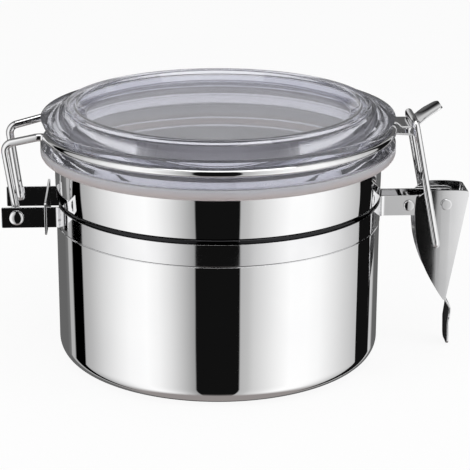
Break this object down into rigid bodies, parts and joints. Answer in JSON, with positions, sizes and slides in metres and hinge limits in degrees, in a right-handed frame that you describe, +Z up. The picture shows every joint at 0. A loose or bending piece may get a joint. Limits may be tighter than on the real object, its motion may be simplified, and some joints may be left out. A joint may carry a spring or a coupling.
{
  "type": "airtight canister",
  "caption": "Round stainless steel food canister with a clear hinged lid, a soft gasket, a wire ring hinge and an over-centre lever latch with a wire bail.",
  "frame": {"origin": "middle of the can's flat foot, on the surface that it stands on", "axes": "+Z up along the can's axis, +X towards the latch, -X towards the hinge, -Y the front seen in the picture"},
  "size_m": [0.1796, 0.1362, 0.0995],
  "materials": {
    "mirror_steel": "mirror polished stainless steel",
    "pressed_steel": "bright pressed stainless strip",
    "wire_steel": "bright drawn stainless wire",
    "clear_plastic": "clear moulded plastic with a slight violet tint",
    "silicone": "translucent pale silicone"
  },
  "bodies": {
    "canister": {"can_body": "mirror_steel", "strap_front": "pressed_steel", "strap_back": "pressed_steel", "ear_retainer": "pressed_steel", "clamp_rivet": "pressed_steel", "clamp_spacer": "pressed_steel"},
    "lid": {"lid_shell": "clear_plastic", "lid_gasket": "silicone", "lid_ring_wire": "wire_steel", "lid_catch": "pressed_steel"},
    "lever": {"latch_lever": "pressed_steel", "lever_pin": "pressed_steel"},
    "bail": {"latch_bail": "wire_steel"}
  },
  "joints": [
    {"name": "lid_hinge", "type": "hinge", "parent": "canister", "child": "lid", "pos_m": [-0.077, 0, 0.0586], "axis": [0, -1, 0], "range_deg": [0, 180]},
    {"name": "lever_pivot", "type": "hinge", "parent": "canister", "child": "lever", "pos_m": [0.0879, 0, 0.0595], "axis": [0, -1, 0], "range_deg": [0, 118], "deforming": ["latch_bail"]},
    {"name": "bail_pivot", "type": "hinge", "parent": "lever", "child": "bail", "pos_m": [0.0845, 0, 0.0433], "axis": [0, -1, 0], "range_deg": [-118, 0]}
  ],
  "couplings": [
    {"joint": "bail_pivot", "follows": "lever_pivot", "ratio": -1}
  ]
}
